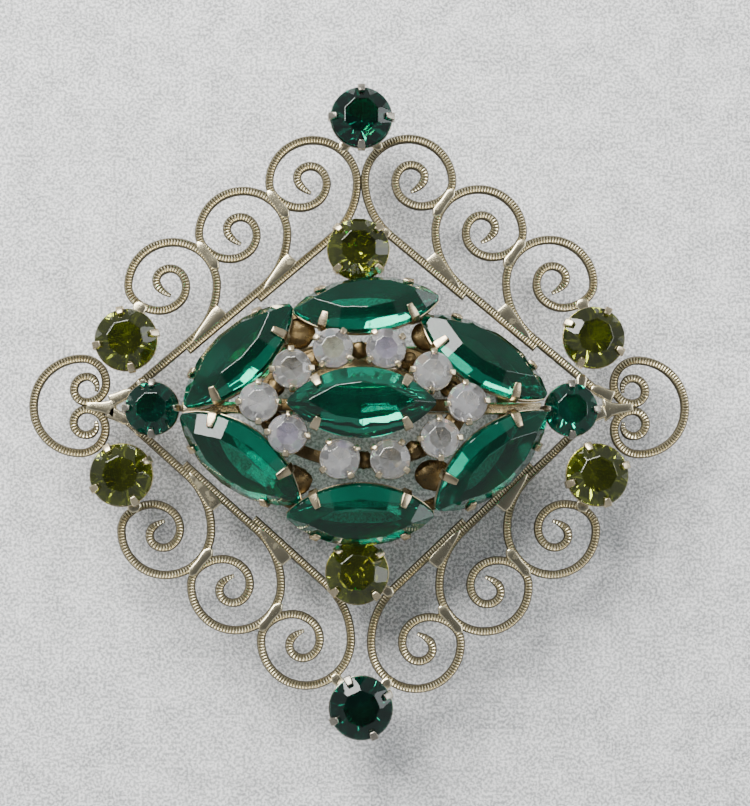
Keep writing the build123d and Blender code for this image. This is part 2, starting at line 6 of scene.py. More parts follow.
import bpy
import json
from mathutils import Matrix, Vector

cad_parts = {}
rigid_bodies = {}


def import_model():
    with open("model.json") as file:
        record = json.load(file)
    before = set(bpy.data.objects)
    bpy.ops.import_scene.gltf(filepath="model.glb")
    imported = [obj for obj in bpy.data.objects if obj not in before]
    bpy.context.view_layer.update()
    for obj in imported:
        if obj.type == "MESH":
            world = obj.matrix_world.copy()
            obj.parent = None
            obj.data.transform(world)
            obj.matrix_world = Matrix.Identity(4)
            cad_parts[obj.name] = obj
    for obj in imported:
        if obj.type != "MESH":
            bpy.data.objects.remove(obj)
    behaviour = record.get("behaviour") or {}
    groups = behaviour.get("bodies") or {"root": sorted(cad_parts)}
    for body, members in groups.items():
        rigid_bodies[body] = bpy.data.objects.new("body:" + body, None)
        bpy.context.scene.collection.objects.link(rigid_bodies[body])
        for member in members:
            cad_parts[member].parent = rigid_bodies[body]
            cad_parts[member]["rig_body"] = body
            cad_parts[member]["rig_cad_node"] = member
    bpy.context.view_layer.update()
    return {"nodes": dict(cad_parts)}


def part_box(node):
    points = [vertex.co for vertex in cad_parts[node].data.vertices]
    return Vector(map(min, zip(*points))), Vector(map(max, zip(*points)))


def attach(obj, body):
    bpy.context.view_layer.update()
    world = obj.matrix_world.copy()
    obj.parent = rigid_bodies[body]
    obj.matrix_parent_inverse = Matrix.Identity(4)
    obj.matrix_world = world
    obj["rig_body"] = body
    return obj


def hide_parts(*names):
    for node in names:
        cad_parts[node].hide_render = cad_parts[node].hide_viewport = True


bl_info = {
    "name": "Scroll brooch",
    "version": (1, 0, 0),
    "blender": (4, 5, 0),
    "location": "3D View > Sidebar > Brooch",
    "description": "Milled filigree, claw-set glass stones and a pin back",
    "category": "Add Mesh",
}

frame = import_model()

import json
import random
from math import asin, ceil, cos, degrees, pi, radians, sin, tan

import bmesh
import bpy
from mathutils import Matrix, Vector

MM = 0.001

# -------------------- sizes, in millimetres
GRILLE_Z = 5.0
SCROLL_ARCS = [
    (4.53, 180), (2.2, 45), (3.55, 45), (2.95, 45), (2.3, 45), (2.05, 45), (1.5, 90), (1.15, 90),
    (2.8, 25),
]
TAIL_RADIUS = 7.5
TAIL_SWEEP = 48.5
TAIL_LENGTHS = (9.9, 9.9, 9.0)
FIRST_SCROLL = (5.28, 23.58)
SCROLL_PITCH = (7.12, -5.48)
# each panel's side, and how far it was soldered out from the mean place, across, up and turned
PANEL_MIDDLE = (12.4, 18.1, 0)
PANELS = {
    "filigree_upper_right": (1, 1, -0.2, 0.35, 1.7),
    "filigree_upper_left": (-1, 1, -0.28, 0.03, 0.7),
    "filigree_lower_left": (-1, -1, 0.2, -0.3, -0.4),
    "filigree_lower_right": (1, -1, 0.1, -0.15, -2.0),
}
END_CENTRE = (28.45, 0.35)
END_ARCS = [(4.83, 90), (2.5, 90), (1.95, 90), (1.3, 180), (1.0, 110)]
TIP_LENGTH = 1.3  # a scroll's inner end tapers over this length
TIP_SHARE = 0.45
ARC_STEP = 5.0  # degrees between two points of a drawn arc
NEAR = 0.001  # points closer than this are in one place
CUT_REACH = 0.0001
WEB_HEIGHT = 1.03
WEB_EDGE = 0.2
# cast webs of a panel, as both ends and the widths on the way; the first two start from a scroll's middle
SCROLL_WEBS = (
    ((2.5, -3.7), (4.7, -0.85), (0.4, 1.15, 1.1, 0.95, 1.0, 1.1, 0.4)),
    ((2.0, -7.85), (4.9, -11.3), (1.3, 1.5, 1.3, 1.1, 0.9, 0.7, 0.3)),
)
OUTER_WEBS = (
    ((2.6, 27.0), (0.75, 29.0), (0.5, 1.2, 1.0, 1.0, 1.2, 1.6)),
    ((3.2, 18.6), (0.9, 17.2), (0.5, 1.2, 1.0, 1.0, 1.2, 1.5)),
    ((22.6, 10.9), (23.4, 8.4), (0.7, 1.5, 1.3, 1.3, 1.5, 1.9)),
    ((22.5, 3.1), (22.2, 1.2), (0.6, 1.2, 1.0, 1.1, 1.3)),
    ((23.3, 1.7), (25.6, 0.6), (0.6, 1.1, 1.1, 1.2, 1.4)),
)

SS29 = 3.1
SS24 = 2.65
SS16 = 1.95
ROUND_GIRDLE = 0.3
ROUND_CROWN_ANGLE = 37.0
ROUND_CORNER_ANGLE = 42.0
ROUND_PAVILION_ANGLE = 40.0
ROUND_TABLE = 0.55
CUP_BASE = 0.78
CUP_DEPTH_SHARE = 0.9

NAVETTE_HALF_LENGTH = 7.5
NAVETTE_HALF_WIDTH = 3.5
NAVETTE_TIP = 7.3
NAVETTE_GIRDLE = 0.4
NAVETTE_CROWN_ANGLE = 40.0
NAVETTE_CROWN_HEIGHT = 1.45
NAVETTE_PAVILION_ANGLE = 31.0
NAVETTE_CROWN_AZIMUTHS = (-47, -28, -8, 8, 28, 47)
NAVETTE_PAVILION_AZIMUTHS = (-42, -14, 14, 42)
NAVETTE_CLAW_AZIMUTHS = (-28, 28)
NAVETTE_ARC_RADIUS = (NAVETTE_HALF_LENGTH**2 + NAVETTE_HALF_WIDTH**2) / (2 * NAVETTE_HALF_WIDTH)
NAVETTE_ARC_SWEEP = 2 * degrees(asin(NAVETTE_HALF_LENGTH / NAVETTE_ARC_RADIUS))
NAVETTE_ARC_OFFSET = NAVETTE_ARC_RADIUS - NAVETTE_HALF_WIDTH

CENTRE_NAVETTE = (-0.1, 0.0, GRILLE_Z + 8.8)
OUTER_NAVETTE_Z = GRILLE_Z + 5.2
OUTER_TILT = 34.0
OUTER_NAVETTES = {
    "top": (0.45, 10.25, 5.5),
    "upper_right": (12.3, 4.95, -32.6),
    "lower_right": (12.95, -5.45, 41.6),
    "bottom": (-0.15, -10.9, 0.5),
    "lower_left": (-12.1, -5.3, -36.3),
    "upper_left": (-12.35, 5.0, 44.0),
}

# turn of each round stone about its own axis; its place is read from the frame
OLIVE_TURNS = {
    "top": 45, "bottom": 40, "upper_left": 12, "lower_left": 28, "upper_right": 62, "lower_right": 18,
}
EMERALD_TURNS = {"top": 0, "bottom": 25, "left": 0, "right": 0}
SIDE_EMERALDS = ("left", "right")
CRYSTAL_TURNS = (58, 36, -4, 5, 2, 55, 33, 85, 0, 2)
CRYSTAL_COATS = ("crystal", "lavender_film", "yellow_film", "clear_facet", "silver_foil")
COAT_SHARES = (0.40, 0.12, 0.08, 0.40)
COATED_AREA = 0.15  # square millimetres; smaller facets keep the plain glass
SOLDER_REACH = 5.5  # two clear stones' cups closer than this are soldered together
SOLDER_DROP = 1.7
# The pools below are dark lumps put in the gaps between the clear stones' cups and the outer navettes' cups:
# painted shade where no light reaches.
SHADE_POOL_Z = GRILLE_Z + 4.4
SOLDER_BEAD = (0.95, 0.95, 0.6)
SHADE_POOL = (2.0, 1.6, 0.4)
SHADE_POOL_PLACES = ((-6.6, 7.3), (6.9, 7.2), (7.3, -6.9), (-6.9, -7.4), (-10.6, 0.3), (10.8, 0.3))


# -------------------- settings that a user would change
def length_setting(name, description, default):
    return bpy.props.FloatProperty(name=name, description=description, default=default, unit="LENGTH")


def colour_setting(name, description, default):
    return bpy.props.FloatVectorProperty(name=name, description=description, subtype="COLOR", default=default)


class FiligreeSettings(bpy.types.PropertyGroup):
    """Sizes of the milled strip that the scrolls are bent from."""

    strip_width: length_setting("Strip width", "Width of the strip from above", 0.0009)
    strip_height: length_setting("Strip height", "Height of the strip", 0.001)
    ridge_pitch: length_setting("Ridge pitch", "From one milled ridge to the next", 0.0003)
    ridge_depth: length_setting("Ridge depth", "Depth of the groove between ridges", 0.00017)
    rim_width: length_setting("Rim width", "Smooth edge on each side of the ridges", 0.00015)


class StoneSettings(bpy.types.PropertyGroup):
    """Colours of the glass, and how sharp its facets are."""

    emerald: colour_setting("Emerald", "Glass of the green stones", (0.0, 0.31, 0.18))
    olive: colour_setting("Olive", "Glass of the olive stones", (0.31, 0.36, 0.03))
    crystal: colour_setting("Crystal", "Glass of the clear stones", (0.97, 0.97, 0.96))
    facet_edge: length_setting("Facet edge", "Polished-off edge between facets", 0.00004)


class ClawSettings(bpy.types.PropertyGroup):
    """Sizes of the settings' sheet metal."""

    thickness: length_setting("Claw thickness", "Thickness of a claw", 0.00032)
    wall: length_setting("Cup wall", "Thickness of a cup's wall", 0.00024)
    edge: length_setting("Worn edge", "Rounding of a claw's edges", 0.0001)


class StageSettings(bpy.types.PropertyGroup):
    """Camera, light and floor."""

    lens: bpy.props.FloatProperty(name="Lens", description="Focal length", default=85.35, unit="CAMERA")
    key_power: bpy.props.FloatProperty(
        name="Key light", description="Power of the large soft light", default=6.5, unit="POWER"
    )
    sky_strength: bpy.props.FloatProperty(
        name="Sky", description="Strength of the light from all round", default=0.46
    )
    floor_colour: colour_setting("Floor", "Colour of the floor", (0.88, 0.91, 0.92))


def mm(length):
    """A length of the settings, in millimetres."""
    return length / MM


# -------------------- bench work
def clear_bench():
    """Leave edit mode and put everything down."""
    if bpy.context.object and bpy.context.object.mode != "OBJECT":
        bpy.ops.object.mode_set(mode="OBJECT")
    bpy.ops.object.select_all(action="DESELECT")


def take(piece):
    """Make a piece the only one that is selected."""
    clear_bench()
    piece.select_set(True)
    bpy.context.view_layer.objects.active = piece
    return piece


def open_up(piece):
    """Edit a piece with all of it selected."""
    take(piece)
    bpy.ops.object.mode_set(mode="EDIT")
    bpy.ops.mesh.select_mode(type="VERT")
    pick_all()
    return piece


def pick_all():
    bpy.ops.mesh.select_all(action="SELECT")


def settle(piece):
    """Carry a piece's place, turn and size over to its points."""
    take(piece)
    bpy.ops.object.transform_apply(location=True, rotation=True, scale=True)
    return piece


def open_block(size, middle):
    """Start a piece from a block and edit it."""
    clear_bench()
    bpy.ops.mesh.primitive_cube_add(size=1, location=middle, scale=size)
    return open_up(settle(bpy.context.object))


def pick_points(test):
    """Select the points of the piece being edited that pass a test of their place."""
    mesh = bpy.context.edit_object.data
    bpy.ops.mesh.select_all(action="DESELECT")
    shape = bmesh.from_edit_mesh(mesh)
    for point in shape.verts:
        point.select_set(test(point.co))
    shape.select_flush_mode()
    bmesh.update_edit_mesh(mesh)


def pick_faces(test):
    """Select the faces of the piece being edited whose normals pass a test."""
    mesh = bpy.context.edit_object.data
    bpy.ops.mesh.select_mode(type="FACE")
    bpy.ops.mesh.select_all(action="DESELECT")
    shape = bmesh.from_edit_mesh(mesh)
    for face in shape.faces:
        face.select_set(test(face.normal))
    bmesh.update_edit_mesh(mesh)


def move(x=0.0, y=0.0, z=0.0):
    bpy.ops.transform.translate(value=(x, y, z))


def widen(x=1.0, y=1.0, z=1.0, about=(0, 0, 0)):
    bpy.ops.transform.resize(value=(x, y, z), center_override=about)


def draw_on(x=0.0, y=0.0, z=0.0):
    """Extrude what is selected."""
    bpy.ops.mesh.extrude_region_move(TRANSFORM_OT_translate={"value": (x, y, z)})


def cut_through(place, normal, **trim):
    """Cut all of the piece being edited along a plane."""
    pick_all()
    bpy.ops.mesh.bisect(plane_co=place, plane_no=normal, threshold=CUT_REACH, **trim)


def face_outwards():
    pick_all()
    bpy.ops.mesh.normals_make_consistent(inside=False)


def finish_with(piece, kind, **values):
    """Add a modifier to a piece and apply it."""
    take(piece)
    modifier = piece.modifiers.new(kind.lower(), kind)
    for name, value in values.items():
        setattr(modifier, name, value)
    bpy.ops.object.modifier_apply(modifier=modifier.name)
    return piece


def round_edges(piece, width, segments, sharp):
    """Bevel the edges of a piece that turn by more than so many degrees."""
    return finish_with(
        piece, "BEVEL", width=width, segments=segments, limit_method="ANGLE", angle_limit=radians(sharp)
    )


def first_point(x, y, z=0.0):
    """A piece with one point, to draw a line from."""
    clear_bench()
    bpy.ops.mesh.primitive_plane_add(size=1)
    open_up(bpy.context.object)
    bpy.ops.mesh.merge(type="CENTER")
    move(x, y, z)
    return bpy.context.object


def last_point():
    shape = bmesh.from_edit_mesh(bpy.context.edit_object.data)
    return next(point.co.copy() for point in shape.verts if point.select)


def draw_arc(centre, sweep):
    """Carry the line on about a centre; a positive sweep is clockwise from above."""
    bpy.ops.mesh.spin(
        steps=max(2, ceil(abs(sweep) / ARC_STEP)), angle=radians(sweep), center=centre, axis=(0, 0, 1)
    )


def copy_to(source, place):
    """A copy of a piece with its own mesh, set down at a place."""
    take(source)
    bpy.ops.object.duplicate(linked=False)
    twin = bpy.context.object
    twin.matrix_world = place
    return settle(twin)


def join(pieces):
    take(pieces[0])
    for piece in pieces:
        piece.select_set(True)
    bpy.ops.object.join()
    return bpy.context.object


def discard(*pieces):
    for piece in pieces:
        bpy.data.objects.remove(piece, do_unlink=True)


def dress(piece, materials):
    """Give a piece its finishes and keep which face has which, as far as there are finishes."""
    numbers = [min(face.material_index, len(materials) - 1) for face in piece.data.polygons]
    piece.data.materials.clear()
    for material in materials:
        piece.data.materials.append(material)
    for face, number in zip(piece.data.polygons, numbers):
        face.material_index = number


def hand_over(piece, name, nodes, materials, body="frame", smooth=30):
    """Scale a finished piece to metres, dress it and fix it to its body."""
    piece.name = name
    piece.data.name = name
    piece.scale = (MM, MM, MM)
    settle(piece)
    if smooth:
        bpy.ops.object.shade_smooth_by_angle(angle=radians(smooth))
    else:
        bpy.ops.object.shade_flat()
    dress(piece, materials)
    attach(piece, body)
    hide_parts(*nodes)
    return piece


# -------------------- finishes
MOST_WORN = 0.9
GRAIN_DULLING = 0.25
BRIGHT_ROUGHNESS = 0.16
DULL_ROUGHNESS = 0.50
GRAIN_ROUGHNESS = 0.08
DENT_DEPTH = 0.00003
FIBRE_DEPTH = 0.0001
COAT_IOR = 2.1
CLOUD_SHARE = 0.35
GRAIN_SHARE = 0.65
SPECK_SHARE = 0.5


def new_group(name, inputs, outputs):
    """A shader node group with named sockets, and its end nodes."""
    group = bpy.data.node_groups.new(name, "ShaderNodeTree")
    for title, kind, default in inputs:
        socket = group.interface.new_socket(name=title, in_out="INPUT", socket_type=kind)
        socket.default_value = default
    for title, kind in outputs:
        group.interface.new_socket(name=title, in_out="OUTPUT", socket_type=kind)
    return group, group.nodes.new("NodeGroupInput"), group.nodes.new("NodeGroupOutput")


def feed(tree, socket, value):
    """Link a socket to another node's output, or set it to a plain value."""
    if hasattr(value, "is_output"):
        tree.links.new(value, socket)
    else:
        socket.default_value = value


def noise(tree, scale, detail=4.0, rough=0.6):
    """Noise on the object's own coordinates, in lumps per metre."""
    place = tree.nodes.new("ShaderNodeTexCoord")
    texture = tree.nodes.new("ShaderNodeTexNoise")
    texture.inputs["Detail"].default_value = detail
    texture.inputs["Roughness"].default_value = rough
    tree.links.new(place.outputs["Object"], texture.inputs["Vector"])
    feed(tree, texture.inputs["Scale"], scale)
    return texture.outputs["Fac"]


def ramp(tree, factor, low, high, out_low=0.0, out_high=1.0):
    node = tree.nodes.new("ShaderNodeMapRange")
    node.interpolation_type = "SMOOTHSTEP"
    for title, value in (("From Min", low), ("From Max", high), ("To Min", out_low), ("To Max", out_high)):
        feed(tree, node.inputs[title], value)
    tree.links.new(factor, node.inputs["Value"])
    return node.outputs["Result"]


def mix_colour(tree, factor, first, second):
    node = tree.nodes.new("ShaderNodeMix")
    node.data_type = "RGBA"
    for number, value in ((0, factor), (6, first), (7, second)):
        feed(tree, node.inputs[number], value)
    return node.outputs[2]


def maths(tree, kind, first, second):
    node = tree.nodes.new("ShaderNodeMath")
    node.operation = kind
    feed(tree, node.inputs[0], first)
    feed(tree, node.inputs[1], second)
    return node.outputs[0]


def upward(tree, space):
    """The Z of a texture space."""
    place = tree.nodes.new("ShaderNodeTexCoord")
    split = tree.nodes.new("ShaderNodeSeparateXYZ")
    tree.links.new(place.outputs[space], split.inputs["Vector"])
    return split.outputs["Z"]


def dent(tree, shader, height, strength, depth):
    """Bump a material's surface by a height."""
    dents = tree.nodes.new("ShaderNodeBump")
    dents.inputs["Strength"].default_value = strength
    dents.inputs["Distance"].default_value = depth
    tree.links.new(height, dents.inputs["Height"])
    tree.links.new(dents.outputs["Normal"], shader.inputs["Normal"])


def new_material(name):
    """A material, its node tree and its shader."""
    material = bpy.data.materials.new(name)
    material.use_nodes = True
    return material, material.node_tree, material.node_tree.nodes["Principled BSDF"]


def deeper(colour, share):
    return tuple(channel * share for channel in colour)


def worn_metal_group():
    """Plated metal: bright where it is handled, dull and dark in worn patches, and darker still where a mask
    of painted shade is fed in.
    """
    group, given, put = new_group(
        "worn plated metal",
        [
            ("Bright", "NodeSocketColor", (0.7, 0.6, 0.4, 1)),
            ("Dull", "NodeSocketColor", (0.3, 0.25, 0.15, 1)),
            ("Painted Shade", "NodeSocketFloat", 0.0),
            ("Patches", "NodeSocketFloat", 900.0),
            ("Grain", "NodeSocketFloat", 9000.0),
            ("Wear", "NodeSocketFloat", 0.5),
        ],
        [("Color", "NodeSocketColor"), ("Roughness", "NodeSocketFloat"), ("Height", "NodeSocketFloat")],
    )
    patches = noise(group, given.outputs["Patches"], 5.0, 0.65)
    grain = noise(group, given.outputs["Grain"], 3.0, 0.7)
    dull_from = maths(group, "SUBTRACT", 0.75, given.outputs["Wear"])
    dull = ramp(group, patches, dull_from, 0.85, 0.0, MOST_WORN)
    # Painted shade fed in from outside darkens it beyond the wear.
    dull = maths(group, "MAXIMUM", dull, given.outputs["Painted Shade"])
    fine = maths(group, "MULTIPLY", grain, GRAIN_DULLING)
    dull = maths(group, "ADD", dull, maths(group, "SUBTRACT", fine, 0.1))
    dull = maths(group, "MINIMUM", maths(group, "MAXIMUM", dull, 0.0), 1.0)
    colour = mix_colour(group, dull, given.outputs["Bright"], given.outputs["Dull"])
    rough = ramp(group, dull, 0.0, 1.0, BRIGHT_ROUGHNESS, DULL_ROUGHNESS)
    rough = maths(group, "ADD", rough, maths(group, "MULTIPLY", grain, GRAIN_ROUGHNESS))
    group.links.new(colour, put.inputs["Color"])
    group.links.new(rough, put.inputs["Roughness"])
    group.links.new(grain, put.inputs["Height"])
    return group


def cut_glass_group():
    """Pressed glass: slow streaks of a deeper tint, and faint scuffs on the polish."""
    group, given, put = new_group(
        "cut glass",
        [
            ("Light", "NodeSocketColor", (0.1, 0.5, 0.3, 1)),
            ("Deep", "NodeSocketColor", (0.0, 0.2, 0.1, 1)),
            ("Streaks", "NodeSocketFloat", 260.0),
        ],
        [("Color", "NodeSocketColor"), ("Roughness", "NodeSocketFloat")],
    )
    streaks = ramp(group, noise(group, given.outputs["Streaks"], 2.0, 0.5), 0.35, 0.65)
    scuffs = ramp(group, noise(group, 2600.0, 6.0, 0.75), 0.55, 0.8, 0.0, 0.09)
    colour = mix_colour(group, streaks, given.outputs["Light"], given.outputs["Deep"])
    group.links.new(colour, put.inputs["Color"])
    group.links.new(scuffs, put.inputs["Roughness"])
    return group


def place_group(material, group, values):
    node = material.node_tree.nodes.new("ShaderNodeGroup")
    node.node_tree = group
    for title, value in values.items():
        node.inputs[title].default_value = value
    return node


def metal(name, bright, dull, patches=900.0, wear=0.35, hollow_shade=None, bump=0.25, shade_and_tarnish=None):
    """Plated metal in two colours. A point attribute darkens it as painted shade; two heights darken it fully
    below the first and not at all above the second, painted shade on lower parts with some tarnish.
    """
    material, tree, shader = new_material(name)
    shader.inputs["Metallic"].default_value = 1.0
    worn = place_group(
        material,
        bpy.data.node_groups["worn plated metal"],
        {"Bright": (*bright, 1), "Dull": (*dull, 1), "Patches": patches, "Wear": wear},
    )
    # Painted shade in the grooves and along the sides, read from a point attribute.
    if hollow_shade:
        mask = tree.nodes.new("ShaderNodeAttribute")
        mask.attribute_name = hollow_shade
        tree.links.new(mask.outputs["Fac"], worn.inputs["Painted Shade"])
    # Painted shade: darker lower down, fully dark below the first height, with some tarnish.
    if shade_and_tarnish:
        darker_low = ramp(tree, upward(tree, "Object"), shade_and_tarnish[0] * MM, shade_and_tarnish[1] * MM, 1.0, 0.0)
        tree.links.new(darker_low, worn.inputs["Painted Shade"])
    tree.links.new(worn.outputs["Color"], shader.inputs["Base Color"])
    tree.links.new(worn.outputs["Roughness"], shader.inputs["Roughness"])
    dent(tree, shader, worn.outputs["Height"], bump, DENT_DEPTH)
    return material


def glass(name, light, deep, ior=1.55, film=0.0, streaks=260.0, clear=1.0):
    """Coloured glass; film is its iridescent coat in nanometres, and clear is 1 for no milkiness."""
    material, tree, shader = new_material(name)
    shader.inputs["Transmission Weight"].default_value = clear
    shader.inputs["Metallic"].default_value = 0.0
    shader.inputs["IOR"].default_value = ior
    if film:
        shader.inputs["Thin Film Thickness"].default_value = film
        shader.inputs["Thin Film IOR"].default_value = COAT_IOR
    cut = place_group(
        material,
        bpy.data.node_groups["cut glass"],
        {"Light": (*light, 1), "Deep": (*deep, 1), "Streaks": streaks},
    )
    tree.links.new(cut.outputs["Color"], shader.inputs["Base Color"])
    tree.links.new(cut.outputs["Roughness"], shader.inputs["Roughness"])
    return material


def paper_floor(colour):
    """Pale pressed board: soft mottling, fine fibres and a few dark specks."""
    material, tree, shader = new_material("pressed board")
    shader.inputs["Roughness"].default_value = 0.85
    shader.inputs["Specular IOR Level"].default_value = 0.25
    clouds = ramp(tree, noise(tree, 300.0, 6.0, 0.7), 0.25, 0.75)
    grain = ramp(tree, noise(tree, 3400.0, 2.0, 0.6), 0.40, 0.60)
    specks = ramp(tree, noise(tree, 1500.0, 2.0, 0.4), 0.73, 0.78)
    clouds = maths(tree, "MULTIPLY", clouds, CLOUD_SHARE)
    shade = maths(tree, "ADD", clouds, maths(tree, "MULTIPLY", grain, GRAIN_SHARE))
    pale = tuple(min(1.0, channel) for channel in deeper(colour, 1.3))
    board = mix_colour(tree, shade, (*deeper(colour, 0.36), 1), (*pale, 1))
    board = mix_colour(tree, maths(tree, "MULTIPLY", specks, SPECK_SHARE), board, (0.2, 0.19, 0.18, 1))
    tree.links.new(board, shader.inputs["Base Color"])
    dent(tree, shader, noise(tree, 3600.0, 5.0, 0.7), 0.6, FIBRE_DEPTH)
    return material


def make_finishes():
    """Build the shared groups once, then every finish of the brooch."""
    worn_metal_group()
    cut_glass_group()
    stones = bpy.context.scene.brooch_stones
    emerald, olive, crystal = tuple(stones.emerald), tuple(stones.olive), tuple(stones.crystal)
    return {
        # The filigree's dull colour is near black, and its point mask paints shade into the grooves and along
        # the sides.
        "filigree": metal(
            "milled pale gilt", (0.90, 0.81, 0.56), (0.07, 0.055, 0.025), 700.0, 0.28, "hollow_shade"
        ),
        "setting": metal("setting gilt", (0.72, 0.62, 0.42), (0.13, 0.10, 0.055), 600.0, 0.34),
        # These settings darken to their dull colour lower down: painted shade, with some tarnish.
        "cluster": metal(
            "cluster setting gilt", (0.74, 0.63, 0.43), (0.07, 0.05, 0.025), 600.0, 0.34, shade_and_tarnish=(8.5, 12.2)
        ),
        "outer": metal(
            "outer setting gilt", (0.66, 0.55, 0.36), (0.08, 0.06, 0.03), 600.0, 0.36, shade_and_tarnish=(6.5, 10.0)
        ),
        "tarnished": metal("tarnished setting", (0.46, 0.43, 0.36), (0.13, 0.12, 0.10), 500.0, 0.40),
        # The hoop, the cradle and its lumps are painted very dark: painted shade inside the cluster, with
        # some tarnish.
        "frame": metal("frame gilt darkened as shade", (0.22, 0.16, 0.075), (0.04, 0.025, 0.01), 700.0, 0.52, None, 0.9),
        "bar": metal("rough bar gilt", (0.84, 0.74, 0.50), (0.22, 0.17, 0.09), 900.0, 0.36, None, 0.8),
        "pin_back": metal("pin back gilt", (0.68, 0.60, 0.40), (0.30, 0.25, 0.15), 400.0, 0.30),
        "steel": metal("pin steel", (0.72, 0.70, 0.66), (0.38, 0.36, 0.32), 500.0, 0.25),
        "emerald": glass("emerald glass", emerald, deeper(emerald, 0.7), clear=0.955),
        "emerald_round": glass("clear emerald glass", emerald, deeper(emerald, 0.5), clear=0.98),
        "emerald_dark": glass("deep emerald glass", deeper(emerald, 0.55), deeper(emerald, 0.30)),
        "olive": glass("olive glass", olive, deeper(olive, 0.5), 1.6, clear=0.975),
        "crystal": glass("crystal glass", crystal, deeper(crystal, 0.85), 1.6, 0.0, 1500.0, 0.86),
        "clear_facet": glass("clear facet glass", (1.0, 0.99, 0.95), (0.9, 0.87, 0.8), 1.6, 0.0, 1500.0),
        "lavender_film": glass(
            "lavender coated glass", (0.90, 0.86, 1.0), (0.66, 0.60, 0.80), 1.6, 330.0, 1500.0, 0.9
        ),
        "yellow_film": glass(
            "yellow coated glass", (1.0, 0.98, 0.72), (0.70, 0.68, 0.50), 1.6, 250.0, 1500.0, 0.9
        ),
        "gold_foil": metal("gold foil", (0.95, 0.83, 0.50), (0.55, 0.42, 0.18), 900.0, 0.2, None, 0.1),
        "silver_foil": metal("silver foil", (0.97, 0.97, 0.96), (0.80, 0.78, 0.74), 900.0, 0.1, None, 0.1),
    }


FINISHES = {}


def finish(*names):
    if not FINISHES:
        FINISHES.update(make_finishes())
    return [FINISHES[name] for name in names]


# -------------------- milled filigree
def ridge_tile():
    """One pitch of the milled strip: a rounded ridge across it, between two smooth rims, with a point mask of
    painted shade.
    """
    sizes = bpy.context.scene.brooch_filigree
    width, height, pitch = mm(sizes.strip_width), mm(sizes.strip_height), mm(sizes.ridge_pitch)
    rim, depth = mm(sizes.rim_width), mm(sizes.ridge_depth)
    inner = width / 2 - rim
    tile = open_block((pitch, width, height), (pitch / 2, 0, height / 2))
    pick_faces(lambda normal: abs(normal.x) > 0.9)
    bpy.ops.mesh.delete(type="ONLY_FACE")
    bpy.ops.mesh.select_mode(type="VERT")
    cuts = [((share * pitch, 0, 0), (1, 0, 0)) for share in (0.25, 0.5, 0.75)]
    cuts += [((0, y, 0), (0, 1, 0)) for y in (-inner, inner, -inner + rim / 2, inner - rim / 2)]
    for place, across in cuts:
        cut_through(place, across)

    def in_groove(co):
        return co.z > height - NEAR and abs(co.y) < inner - NEAR

    pick_points(lambda co: in_groove(co) and abs(co.x - pitch / 2) > pitch / 2 - NEAR)
    move(z=-depth)
    pick_points(lambda co: in_groove(co) and abs(abs(co.x - pitch / 2) - pitch / 4) < NEAR)
    move(z=-0.42 * depth)
    pick_points(lambda co: abs(co.y) > width / 2 - NEAR and co.z > height - NEAR)
    widen(y=0.96)
    move(z=-0.22 * height)
    pick_points(lambda co: abs(co.y) > width / 2 - NEAR and co.z < NEAR)
    widen(y=0.8)
    clear_bench()
    # Painted shade: the mask darkens the grooves by their depth, the rims a little and the strip's outer
    # sides fully, where shade falls.
    mask = tile.data.attributes.new("hollow_shade", "FLOAT", "POINT")
    for point, value in zip(tile.data.vertices, mask.data):
        drop = (height - point.co.z) / depth
        across = abs(point.co.y)
        edge_shade = 1.0 if across > width / 2 * 0.9 else 0.7 if across > inner - NEAR else 0.0
        value.value = max(edge_shade, min(1.0, 0.95 * drop))
    return tile


def scroll_line(tail_length):
    """The scroll's middle line about its rim's centre, from the tail's end in to the eye."""
    heading = (sin(radians(TAIL_SWEEP)), -cos(radians(TAIL_SWEEP)))
    rim_x = -SCROLL_ARCS[0][0]
    tail_centre = (rim_x + TAIL_RADIUS, 0, 0)
    start_x = tail_centre[0] - TAIL_RADIUS * cos(radians(TAIL_SWEEP))
    start_y = -TAIL_RADIUS * sin(radians(TAIL_SWEEP))
    line = first_point(start_x + heading[0] * tail_length, start_y + heading[1] * tail_length)
    draw_on(-heading[0] * tail_length, -heading[1] * tail_length)
    draw_arc(tail_centre, TAIL_SWEEP)
    spiral_in(Vector((0, 0, 0)), SCROLL_ARCS, 1)
    return line


def spiral_in(centre, arcs, way):
    """Tangent arcs of falling radius; way is 1 clockwise, -1 the other way."""
    for number, (radius, sweep) in enumerate(arcs):
        if number:
            end = last_point()
            centre = end + (centre - end).normalized() * radius
        draw_arc(centre, way * sweep)


def end_line(way):
    """Half of a ram's-horn scroll at the right corner, from its outermost point."""
    line = first_point(END_CENTRE[0] + END_ARCS[0][0], END_CENTRE[1])
    spiral_in(Vector((*END_CENTRE, 0)), END_ARCS, way)
    return line


def milled_strip(line, tile):
    """Run the milled strip along a line; its inner end narrows to a worn point."""
    take(line)
    bpy.ops.object.convert(target="CURVE")
    path = line.data
    path.dimensions = "2D"
    points = path.splines[0].points
    travelled = 0.0
    for nearer, point in zip(reversed(points[1:]), reversed(points[:-1])):
        nearer.radius = TIP_SHARE + (1 - TIP_SHARE) * min(1.0, travelled / TIP_LENGTH)
        travelled += (nearer.co - point.co).length
    strip = copy_to(tile, Matrix.Identity(4))
    finish_with(
        strip, "ARRAY", fit_type="FIT_CURVE", curve=line, use_merge_vertices=True, merge_threshold=NEAR
    )
    finish_with(strip, "CURVE", object=line)
    open_up(strip)
    bpy.ops.mesh.select_all(action="DESELECT")
    bpy.ops.mesh.select_non_manifold(extend=False)
    bpy.ops.mesh.fill(use_beauty=True)
    discard(line)
    return strip


